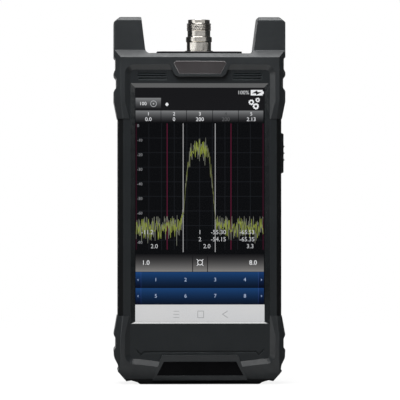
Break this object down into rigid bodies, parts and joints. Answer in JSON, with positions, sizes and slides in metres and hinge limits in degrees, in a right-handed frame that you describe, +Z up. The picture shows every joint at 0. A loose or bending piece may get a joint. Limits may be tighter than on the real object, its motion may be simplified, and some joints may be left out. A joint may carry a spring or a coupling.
{
  "type": "handheld spectrum analyzer",
  "caption": "Rugged handheld spectrum analyzer: a tall touch screen in a bevelled housing, a guard whose horns shield a coaxial jack, a ribbed boot, a side key and a covered port.",
  "frame": {"origin": "under the middle of the foot, on the surface that the instrument stands on", "axes": "+Z up along the instrument, the screen faces -Y, +X to the right as the screen is read"},
  "size_m": [0.111, 0.0436, 0.2374],
  "materials": {
    "housing": "fine moulded texture",
    "guard": "satin moulded elastomer",
    "seal": "matt",
    "glass": "clear",
    "display": "dark panel",
    "grille": "matt",
    "inner_plastic": "matt",
    "name_plate": "satin, bare",
    "badge_plate": "gloss black, bare",
    "chassis": "plain",
    "small_steel": "zinc plated",
    "dark_screw": "black oxide",
    "brass": "bright",
    "board": "solder mask",
    "shield": "tinned sheet",
    "black_plate": "satin black",
    "nickel": "nickel plated",
    "insulator": "plain",
    "battery": "sleeved pack",
    "key": "satin"
  },
  "bodies": {
    "case": {"front_housing": "housing", "rear_cover": "housing", "housing_seal": "seal", "case_screws": "dark_screw", "top_guard": "guard", "bottom_boot": "guard", "cover_glass": "glass", "glass_gasket": "seal", "lcd_panel": "display", "speaker_grilles": "grille", "speakers": "inner_plastic", "name_plate": "name_plate", "badge_plate": "badge_plate", "chassis_plate": "chassis", "chassis_screws": "small_steel", "board_standoffs": "brass", "board_screws": "small_steel", "main_board": "board", "processor_shield": "shield", "rf_header": "inner_plastic", "rf_board": "board", "rf_shield": "shield", "rf_lead": "brass", "connector_plate": "black_plate", "plate_screws": "dark_screw", "jack_washer": "nickel", "n_jack_body": "nickel", "n_jack_insulator": "insulator", "n_jack_contact": "brass", "jack_nut": "nickel", "battery_pack": "battery", "battery_contacts": "brass", "battery_cover": "housing", "cover_screws": "dark_screw", "key_switch": "inner_plastic", "key_board": "board", "door_pin": "small_steel", "usb_socket": "small_steel"},
    "key": {"side_key": "key", "switch_plunger": "inner_plastic"},
    "door": {"port_door": "key", "door_seal": "seal"}
  },
  "joints": [
    {"name": "side_key_press", "type": "slide", "parent": "case", "child": "key", "axis": [-1, 0, 0], "range_m": [0, 0.0009], "stiffness_N_per_m": 2000},
    {"name": "port_door_hinge", "type": "hinge", "parent": "case", "child": "door", "pos_m": [-0.0514, 0.0018, 0.1494], "axis": [0, 0, -1], "range_deg": [0, 90]}
  ]
}
